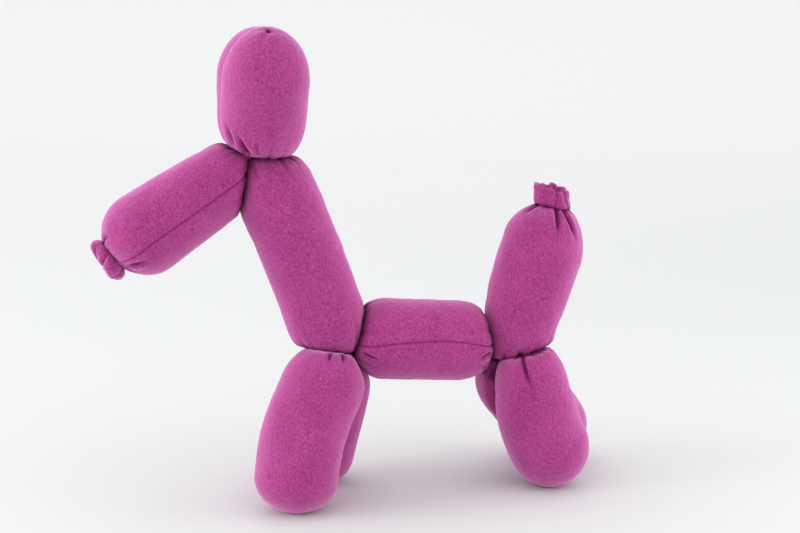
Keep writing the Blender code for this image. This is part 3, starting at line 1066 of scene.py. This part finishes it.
@dataclass
class Head:
    """The muzzle, with its tied nose, and the two ears.

    A seat is the middle of a tube's sewn cap from the joint, in shares of the tube's radius.
    """

    skeleton: Skeleton
    muzzle_seat: tuple[float, float, float] = (-0.64, 0.0, -0.66)
    muzzle_radius: float = 0.0218
    muzzle_run: float = 0.0553
    muzzle_rise: float = -32.8
    muzzle_swell: float = 0.14
    muzzle_cap: float = 1.06
    muzzle_tip_rise: float = -33.5
    ear_seat: tuple[float, float, float] = (0.36, 0.62, 1.06)
    ear_radius: float = 0.0248
    ear_run: float = 0.0170
    ear_rise: float = 91.5
    ear_fullness: float = 2.3
    ear_spread: float = 0.35
    nose: Ruffle = Ruffle(-37.5, -49.0, 0.0090, 0.0134, 0.0092, 31, BUN,
                          ((-11.0, 0.5), (14.0, 1.0), (52.0, 0.9), (104.0, 1.0), (150.0, 0.7),
                           (190.0, 1.0), (232.0, 0.6), (270.0, 1.0), (308.0, 0.9)), (0.0, 0.12))
    muzzle_seam: Seam = Seam((-6.0, -8.7, -10.4, -11.0, -19.0), (0.03, 0.835))
    muzzle_creases: tuple[Crease, ...] = (
        Crease((0.1225, 62.0), (0.1095, 32.0), 0.0012, 0.0014),
        Crease((0.1160, -30.0), (0.0975, -29.0), 0.0013, 0.0017, 0.2),
        Crease((0.1228, -38.0), (0.1100, -82.0), 0.0015, 0.0014),
        Crease((0.1225, 118.0), (0.1070, 128.0), 0.0013, 0.0015),
        Crease((0.1225, 176.0), (0.1110, 170.0), 0.0011, 0.0014),
        Crease((0.1225, -128.0), (0.1080, -134.0), 0.0013, 0.0015),
    )
    left_ear_creases: tuple[Crease, ...] = (
        Crease((0.0315, -25.0), (0.0450, -46.0), 0.0012, 0.0018),
        Crease((0.0360, -48.0), (0.0490, -68.0), 0.0008, 0.0019),
        Crease((0.0330, -11.0), (0.0430, -13.0), 0.0007, 0.0010),
    )
    right_ear_creases: tuple[Crease, ...] = (
        Crease((0.0315, -155.0), (0.0450, -134.0), 0.0015, 0.0016),
        Crease((0.0330, 168.0), (0.0440, 172.0), 0.0009, 0.0012),
    )

    def tubes(self) -> list[Tube]:
        """Return the muzzle and the ears."""
        head = self.skeleton.head_joint()
        start = head + self.muzzle_radius * point(*self.muzzle_seat)
        muzzle = Tube("muzzle", self.muzzle_radius, start,
                      start + self.muzzle_run * heading(self.muzzle_rise),
                      end_cap=self.muzzle_cap, swell=self.muzzle_swell,
                      end_ending=Ending.TIED, tip_rise=self.muzzle_tip_rise, ruffle=self.nose,
                      seam=self.muzzle_seam, creases=self.muzzle_creases, seed=11)
        tubes = [muzzle]
        for name, side, creases, seed in (("left_ear", -1.0, self.left_ear_creases, 14),
                                          ("right_ear", 1.0, self.right_ear_creases, 17)):
            start = head + self.ear_radius * point(*self.ear_seat) * point(1.0, side, 1.0)
            spread = self.ear_radius * point(0.0, self.ear_spread * side, 0.0)
            tubes.append(Tube(name, self.ear_radius, start,
                              start + self.ear_run * heading(self.ear_rise) + spread,
                              start_fullness=self.ear_fullness, creases=creases, seed=seed))
        return tubes


@dataclass
class Trunk:
    """The neck and the body, each sewn in at both ends.

    A seat is the middle of a tube's sewn cap from the joint, in shares of the tube's radius.
    """

    skeleton: Skeleton
    neck_radius: float = 0.0240
    neck_top_seat: tuple[float, float, float] = (0.72, 0.0, -0.97)
    neck_foot_seat: tuple[float, float, float] = (-0.78, 0.0, 0.96)
    neck_bow: tuple[float, float, float] = (0.03, 0.0, 0.01)
    body_radius: float = 0.0245
    body_front_seat: tuple[float, float, float] = (0.70, 0.0, 0.36)
    body_back_seat: tuple[float, float, float] = (-1.04, 0.0, 0.34)
    body_start_cap: float = 1.0
    body_end_cap: float = 1.15
    body_seam: Seam = Seam((6.0, -5.2, -8.5, 0.5), (0.12, 0.88))
    neck_creases: tuple[Crease, ...] = (
        Crease((0.0115, 31.0), (0.0260, 25.0), 0.0008, 0.0012),
        Crease((0.0130, 6.0), (0.0240, 8.0), 0.0006, 0.0010),
    )
    body_creases: tuple[Crease, ...] = (
        Crease((0.0225, 17.0), (0.0340, 21.0), 0.0012, 0.0012),
        Crease((0.1005, 12.0), (0.0915, 20.0), 0.0012, 0.0013),
        Crease((0.1035, 40.0), (0.0955, 48.0), 0.0014, 0.0014),
    )

    def tubes(self) -> list[Tube]:
        """Return the neck and the body."""
        head, shoulder = self.skeleton.head_joint(), self.skeleton.shoulder_joint()
        hip = self.skeleton.hip_joint()
        neck = Tube("neck", self.neck_radius, head + self.neck_radius * point(*self.neck_top_seat),
                    shoulder + self.neck_radius * point(*self.neck_foot_seat), bow=self.neck_bow,
                    end_ending=Ending.SEWN, creases=self.neck_creases, seed=20)
        body = Tube("body", self.body_radius,
                    shoulder + self.body_radius * point(*self.body_front_seat),
                    hip + self.body_radius * point(*self.body_back_seat),
                    start_cap=self.body_start_cap, end_cap=self.body_end_cap,
                    end_ending=Ending.SEWN, seam=self.body_seam, creases=self.body_creases,
                    seed=23)
        return [neck, body]


@dataclass
class Legs:
    """The four legs. The left ones stand nearly under the toy, the right ones are spread.

    A seat is the middle of a leg's sewn cap from the joint, in shares of the leg's radius.
    """

    skeleton: Skeleton
    left_front_seat: tuple[float, float, float] = (-0.97, -0.60, -0.74)
    right_front_seat: tuple[float, float, float] = (-0.61, 0.60, -0.98)
    left_hind_seat: tuple[float, float, float] = (0.82, -0.50, -0.86)
    right_hind_seat: tuple[float, float, float] = (0.72, 0.60, -0.93)
    left_front_bow: tuple[float, float, float] = (-0.09, 0.0, 0.09)
    left_hind_bow: tuple[float, float, float] = (-0.05, 0.0, 0.0)
    front_radius: float = 0.0249
    hind_radius: float = 0.0250
    left_front_step: tuple[float, float] = (-0.0408, -0.0325)
    right_front_step: tuple[float, float] = (-0.0240, 0.0230)
    left_hind_step: tuple[float, float] = (0.0312, -0.0100)
    right_hind_step: tuple[float, float] = (0.0475, 0.0450)
    hind_taper: float = 0.10
    left_front_creases: tuple[Crease, ...] = (
        Crease((0.0262, 29.0), (0.0345, 23.0), 0.0016, 0.0012),
        Crease((0.0213, 10.0), (0.0310, 3.0), 0.0016, 0.0012),
    )
    left_hind_creases: tuple[Crease, ...] = (
        Crease((0.0140, 27.0), (0.0410, 10.0), 0.0016, 0.0016),
    )
    blunt_cap: float = 0.83
    heel_cap: float = 1.12
    round_cap: float = 1.0

    def tubes(self) -> list[Tube]:
        """Return the four legs."""
        skeleton, front, hind = self.skeleton, self.front_radius, self.hind_radius
        shoulder, hip = skeleton.shoulder_joint(), skeleton.hip_joint()
        return [
            Tube("left_front_leg", front, shoulder + front * point(*self.left_front_seat),
                 skeleton.foot(shoulder, self.left_front_step, self.blunt_cap * front),
                 bow=self.left_front_bow, end_cap=self.blunt_cap, end_ending=Ending.FOOT,
                 creases=self.left_front_creases, seed=26),
            Tube("right_front_leg", front, shoulder + front * point(*self.right_front_seat),
                 skeleton.foot(shoulder, self.right_front_step, self.blunt_cap * front),
                 end_cap=self.blunt_cap, end_ending=Ending.FOOT, seed=29),
            Tube("left_hind_leg", hind, hip + hind * point(*self.left_hind_seat),
                 skeleton.foot(hip, self.left_hind_step, self.heel_cap * hind),
                 bow=self.left_hind_bow, end_cap=self.heel_cap, taper=self.hind_taper,
                 end_ending=Ending.FOOT, creases=self.left_hind_creases, seed=32),
            Tube("right_hind_leg", hind, hip + hind * point(*self.right_hind_seat),
                 skeleton.foot(hip, self.right_hind_step, self.round_cap * hind),
                 end_cap=self.round_cap, end_ending=Ending.FOOT, seed=35),
        ]


@dataclass
class Tail:
    """The tail, whose gathered end stands nearly straight up."""

    skeleton: Skeleton
    seat: tuple[float, float, float] = (0.63, 0.0, 0.75)
    bow: tuple[float, float, float] = (-0.03, 0.0, 0.02)
    radius: float = 0.0252
    run: float = 0.0462
    rise: float = 106.5
    tip_rise: float = 103.0
    start_cap: float = 1.4
    taper: float = 0.11
    cap: float = 1.14
    tuft: Ruffle = Ruffle(100.0, 84.0, 0.0101, 0.0112, 0.0128, 41, BAG,
                          ((-4.0, 1.1), (36.0, 0.7), (84.0, 0.7), (128.0, 0.9), (172.0, 0.7),
                           (214.0, 0.9), (262.0, 0.8), (322.0, 0.5)), (0.11, 0.0))
    creases: tuple[Crease, ...] = (
        Crease((0.1225, -2.0), (0.1025, 1.0), 0.0021, 0.0016),
        Crease((0.1225, 21.0), (0.1015, 38.0), 0.0022, 0.0017),
        Crease((0.1235, -76.0), (0.1100, -67.0), 0.0012, 0.0022),
        Crease((0.1230, 88.0), (0.1090, 98.0), 0.0014, 0.0017),
        Crease((0.1230, 150.0), (0.1070, 143.0), 0.0016, 0.0017),
        Crease((0.1230, -142.0), (0.1085, -150.0), 0.0014, 0.0017),
        Crease((0.0235, -4.0), (0.0330, -6.0), 0.0016, 0.0018),
        Crease((0.0215, -31.0), (0.0290, -34.0), 0.0010, 0.0014),
    )

    def tubes(self) -> list[Tube]:
        """Return the tail."""
        hip = self.skeleton.hip_joint()
        start = hip + self.radius * point(*self.seat)
        return [Tube("tail", self.radius, start, start + self.run * heading(self.rise),
                     bow=self.bow, start_cap=self.start_cap,
                     taper=self.taper, end_cap=self.cap, end_ending=Ending.TIED,
                     tip_rise=self.tip_rise, ruffle=self.tuft, creases=self.creases, seed=38)]


@dataclass(frozen=True)
class Contact:
    """The flat between two sewn ends.

    Attributes:
        first: One tube.
        first_end: Its end that is sewn in, "start" or "end".
        second: The other tube.
        second_end: Its end.
        turn: How far the flat is turned in the toy's middle plane, in degrees.
        shift: How far it is moved to the second tube, as a share of the way between the ends.
    """

    first: str
    first_end: str
    second: str
    second_end: str
    turn: float = 0.0
    shift: float = 0.0


@dataclass
class Poodle:
    """The whole toy: its tubes pressed together at the joints, filled, dressed and placed.

    Attributes:
        skeleton: The three joints.
        gap: Clearance between two tubes that touch, below zero where they press into each other.
        sideways_share: How far the flats between side tubes and middle ones lean to the side.
        hind_legs_lean: How far the flat between the hind legs leans as it goes down, in degrees.
        ear_on_muzzle: Turn in degrees and shift of that flat, and so on for each pair of tubes.
        spacing: Distance between the rows of a sheet.
        sides: Points round each row.
        stuffed: How soft the pieces are to the touch, from 0 to 1; not used.
    """

    skeleton: Skeleton = Skeleton()
    gap: float = -0.0005
    sideways_share: float = 0.2
    hind_legs_lean: float = 25.0
    ear_on_muzzle: tuple[float, float] = (-7.0, 0.02)
    ear_on_neck: tuple[float, float] = (12.0, 0.01)
    muzzle_on_neck: tuple[float, float] = (-8.0, -0.13)
    neck_on_leg: tuple[float, float] = (1.0, -0.06)
    neck_on_body: tuple[float, float] = (-5.0, 0.04)
    body_on_front_leg: tuple[float, float] = (8.0, -0.03)
    body_on_tail: tuple[float, float] = (4.0, -0.03)
    tail_on_leg: tuple[float, float] = (-8.0, -0.07)
    body_on_hind_leg: tuple[float, float] = (-26.0, -0.05)
    spacing: float = 0.00062
    sides: int = 208
    stuffed: float = 0.9

    def contacts(self) -> list[Contact]:
        """Return the flats between the tubes that are sewn in at each joint."""
        contacts = [
            Contact("left_ear", "start", "right_ear", "start"),
            Contact("muzzle", "start", "neck", "start", *self.muzzle_on_neck),
            Contact("neck", "end", "body", "start", *self.neck_on_body),
            Contact("left_front_leg", "start", "right_front_leg", "start"),
            Contact("body", "end", "tail", "start", *self.body_on_tail),
            Contact("left_hind_leg", "start", "right_hind_leg", "start", self.hind_legs_lean),
        ]
        for side in ("left_", "right_"):
            contacts += [
                Contact(side + "ear", "start", "muzzle", "start", *self.ear_on_muzzle),
                Contact(side + "ear", "start", "neck", "start", *self.ear_on_neck),
                Contact("neck", "end", side + "front_leg", "start", *self.neck_on_leg),
                Contact("body", "start", side + "front_leg", "start", *self.body_on_front_leg),
                Contact("tail", "start", side + "hind_leg", "start", *self.tail_on_leg),
                Contact("body", "end", side + "hind_leg", "start", *self.body_on_hind_leg),
            ]
        return contacts

    def press(self, tubes: dict[str, Tube]) -> None:
        """Give each tube the walls that part it from its neighbours, half a gap away.

        A wall parts the line between two end middles by the two radii and its contact's shift.
        Where a side tube meets a middle one, it leans sideways only by a share of that line.
        Between a left and a right tube, the contact's turn leans it to the side.
        """
        middle = self.skeleton.shoulder[1]
        for contact in self.contacts():
            first, second = tubes[contact.first], tubes[contact.second]
            here, there = getattr(first, contact.first_end), getattr(second, contact.second_end)
            share = first.radius / (first.radius + second.radius) + contact.shift
            line = there - here
            across = leaned(line, contact.turn)
            if (here[1] - middle) * (there[1] - middle) > -1e-9:
                across = turned(line * point(1.0, self.sideways_share, 1.0), contact.turn)
            normal = unit(across)
            level = normal @ (here + share * line)
            first.walls.append(Wall(normal, level - self.gap / 2))
            second.walls.append(Wall(-normal, -level - self.gap / 2))

    def build(self, tubes: list[Tube], filling: Filling, fleece: bpy.types.Material) -> None:
        """Build every tube and dress it in fleece.

        Args:
            tubes: The tubes of all the sub-assemblies.
            filling: The simulation that fills them.
            fleece: Their material.
        """
        self.press({tube.name: tube for tube in tubes})
        sheets = [tube.sheet(self.spacing, self.sides) for tube in tubes]
        filling.settle(tubes, sheets)
        for tube, sheet in zip(tubes, sheets):
            depth = tube.dress(sheet)
            mesh = closed_mesh(tube.name + "_fleece", sheet.points, sheet.poles)
            # The fold attribute carries each point's painted shade to the fleece.
            mesh.attributes.new("fold", "FLOAT", "POINT").data.foreach_set("value", depth)
            mesh.materials.append(fleece)
            piece = placed(tube.name + "_fleece", mesh)
            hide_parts(tube.name)
            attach(piece, "root")
            log.info("%s: %d faces", piece.name, len(mesh.polygons))


@dataclass(frozen=True)
class Stitching:
    """The sewing thread that shows where the head's tubes are pulled together.

    Attributes:
        seats: For each stitch, where it comes out of one tube and goes into another, from the
            shoulder joint.
        radius: Radius of the thread.
        slack: How far a stitch stands out towards the near side.
        rings: Rings along each stitch.
        sides: Points round each ring.
        colour: Colour of the thread.
    """

    seats: tuple[tuple[tuple[float, float, float], tuple[float, float, float]], ...] = (
        ((-0.0674, -0.0262, 0.1252), (-0.0664, -0.0120, 0.1206)),
        ((-0.0668, -0.0270, 0.1249), (-0.0655, -0.0120, 0.1202)),
        ((-0.0661, -0.0272, 0.1247), (-0.0646, -0.0125, 0.1196)),
        ((-0.0653, -0.0275, 0.1243), (-0.0634, -0.0128, 0.1194)),
    )
    radius: float = 0.00028
    slack: float = 0.0006
    rings: int = 14
    sides: int = 10
    colour: tuple[float, float, float] = (0.40, 0.035, 0.160)

    def material(self) -> bpy.types.Material:
        """Build the thread's material."""
        material = bpy.data.materials.new("pink_thread")
        material.use_nodes = True
        shader = material.node_tree.nodes["Principled BSDF"]
        shader.inputs["Base Color"].default_value = (*self.colour, 1.0)
        shader.inputs["Roughness"].default_value = 0.7
        return material

    def stitch(self, name: str, first: Array, last: Array) -> bpy.types.Mesh:
        """Make one stitch: a round tube along half a wave that bows to the near side."""
        share = np.linspace(0.0, 1.0, self.rings)[:, None]
        bow = point(0.0, -self.slack, 0.0)
        middle = first + share * (last - first) + np.sin(math.pi * share) * bow
        axis = unit(last - first + math.pi * np.cos(math.pi * share) * bow)
        circle = Tube.circle(axis, np.arange(self.sides) * 2.0 * math.pi / self.sides)
        return closed_mesh(name, middle[:, None] + self.radius * circle, middle[[0, -1]])

    def build(self, shoulder: Array) -> None:
        """Place every stitch."""
        material = self.material()
        for number, (first, last) in enumerate(self.seats, start=1):
            name = f"stitch_{number}"
            mesh = self.stitch(name, shoulder + point(*first), shoulder + point(*last))
            mesh.materials.append(material)
            piece = placed(name, mesh)
            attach(piece, "root")


@dataclass(frozen=True)
class Lamp:
    """A square area light.

    Attributes:
        name: Its name.
        where: Its place.
        size: Length of its sides.
        power: Its power in watts.
        target: What it faces, the toy's middle if none is given.
    """

    name: str
    where: tuple[float, float, float]
    size: float
    power: float
    target: tuple[float, float, float] = (0.0, 0.0, 0.13)

    def hang(self) -> None:
        """Put the lamp in the scene."""
        data = bpy.data.lights.new(self.name, "AREA")
        data.size = self.size
        data.energy = self.power
        lamp = bpy.data.objects.new(self.name, data)
        away = unit(point(*self.where) - point(*self.target))
        lamp.location = self.where
        lamp.rotation_euler = (math.acos(away[2]), 0.0, math.atan2(away[1], away[0]) + math.pi / 2)
        bpy.context.scene.collection.objects.link(lamp)


@dataclass(frozen=True)
class Studio:
    """A pale floor, soft light from the left and above, and the camera at the photo's angle.

    Attributes:
        camera_place: Where the camera is.
        camera_tilt: How far it is tipped up from looking straight down, in degrees.
        camera_turn: How far it is turned from looking along +Y, in degrees.
        lens: Its focal length in millimetres.
        sensor: Width of its sensor in millimetres.
        floor_half: Half the floor's width, and its depth towards the camera.
        floor_drop: How far it lies below the feet.
        floor_rows: Rows from the toy to near the sweep.
        floor_rows_end: Where the last of them is.
        sweep_start: Where the floor begins to turn up.
        sweep_radius: Radius of the turn.
        sweep_rows: Rows on the turn.
        sweep_top: Height of the paper's end.
        painted_falloff: Where the painted change from the floor's colour to the wall's begins, and
            over what length.
        floor_colour: Colour of the floor round the toy, painted darker where the lamps light it most.
        wall_colour: Colour of the far floor and the wall, painted paler where the lamps' light falls
            off.
        sky_colour: Colour of the even light.
        sky_strength: Strength of the even light.
        lamps: The lights.
    """

    camera_place: tuple[float, float, float] = (-0.12855, -0.88316, 0.2786)
    camera_tilt: float = 81.0
    camera_turn: float = -10.0
    lens: float = 67.5
    sensor: float = 36.0
    floor_half: float = 12.0
    floor_drop: float = 0.0002
    floor_rows: int = 9
    floor_rows_end: float = 2.0
    sweep_start: float = 2.2
    sweep_radius: float = 1.0
    sweep_rows: int = 25
    sweep_top: float = 1.4
    painted_falloff: tuple[float, float] = (0.1, 2.2)
    floor_colour: tuple[float, float, float] = (0.71, 0.715, 0.715)
    wall_colour: tuple[float, float, float] = (0.83, 0.83, 0.83)
    sky_colour: tuple[float, float, float] = (0.95, 0.965, 0.97)
    sky_strength: float = 1.14
    lamps: tuple[Lamp, ...] = (
        Lamp("window", (-1.4, -0.20, 0.45), 0.8, 10.5),
        Lamp("room", (0.80, -0.35, 0.15), 0.5, 2.8, (0.14, 0.0, 0.13)),
        Lamp("ceiling", (-0.2, 0.5, 1.3), 0.8, 1.0),
    )

    def floor(self) -> None:
        """Lay the floor: a sheet just under the feet, swept up in a quarter circle far behind.

        Its colour is painted darker round the toy, where the lamps light it most, and paler towards
        the sweep, where their light falls off.
        """
        angle = np.linspace(0.0, math.pi / 2, self.sweep_rows)
        depth = self.sweep_start + self.sweep_radius * np.sin(angle)
        height = self.sweep_radius * (1.0 - np.cos(angle))
        near = np.linspace(0.0, self.floor_rows_end, self.floor_rows)
        flat = np.concatenate(([-self.floor_half], near))
        depth = np.concatenate((flat, depth, depth[-1:]))
        height = np.concatenate((0.0 * flat, height, [self.sweep_top])) - self.floor_drop
        wide = np.full(len(depth), self.floor_half)
        rows = np.stack((np.stack((-wide, depth, height), axis=-1),
                         np.stack((wide, depth, height), axis=-1)), axis=1)
        low = 2 * np.arange(len(depth) - 1)
        mesh = bpy.data.meshes.new("floor")
        mesh.from_pydata(rows.reshape(-1, 3).tolist(), [],
                         np.stack((low, low + 1, low + 3, low + 2), axis=-1).tolist())
        mesh.shade_smooth()
        # Painted light: the share of the way from the darker floor colour to the paler wall colour,
        # growing away from the lamps.
        far = np.repeat(eased((depth - self.painted_falloff[0]) / self.painted_falloff[1]), 2)
        mesh.attributes.new("far", "FLOAT", "POINT").data.foreach_set("value", far)
        material = bpy.data.materials.new("pale_floor")
        material.use_nodes = True
        shader = material.node_tree.nodes["Principled BSDF"]
        maker = Nodes(material.node_tree)
        stops = ((0.0, self.floor_colour), (1.0, self.wall_colour))
        maker.link(maker.ramp(maker.attribute("far"), stops), shader.inputs["Base Color"])
        shader.inputs["Roughness"].default_value = 0.8
        shader.inputs["Specular IOR Level"].default_value = 0.1
        mesh.materials.append(material)
        placed("floor", mesh)

    def sky(self) -> None:
        """Surround the toy with even, near-white light."""
        world = bpy.data.worlds.new("studio")
        world.use_nodes = True
        background = world.node_tree.nodes["Background"]
        background.inputs["Color"].default_value = (*self.sky_colour, 1.0)
        background.inputs["Strength"].default_value = self.sky_strength
        bpy.context.scene.world = world

    def camera(self) -> None:
        """Set the camera where the photo was taken."""
        data = bpy.data.cameras.new("camera")
        data.lens = self.lens
        data.sensor_width = self.sensor
        camera = bpy.data.objects.new("camera", data)
        camera.location = self.camera_place
        camera.rotation_euler = (math.radians(self.camera_tilt), 0.0, math.radians(self.camera_turn))
        bpy.context.scene.collection.objects.link(camera)
        bpy.context.scene.camera = camera

    def build(self) -> None:
        """Set up the whole studio, with colours shown as they are."""
        bpy.context.scene.view_settings.view_transform = "Standard"
        self.floor()
        self.sky()
        for lamp in self.lamps:
            lamp.hang()
        self.camera()


def main() -> None:
    """Build the toy, its stitches and its studio."""
    logging.basicConfig(level=logging.INFO, format="%(name)s: %(message)s")
    Studio().build()
    skeleton = Skeleton()
    fleece = Fleece().material()
    tubes = [*Head(skeleton).tubes(), *Trunk(skeleton).tubes(), *Legs(skeleton).tubes(),
             *Tail(skeleton).tubes()]
    Poodle(skeleton).build(tubes, Filling(), fleece)
    Stitching().build(skeleton.shoulder_joint())


if __name__ == "__main__":
    main()
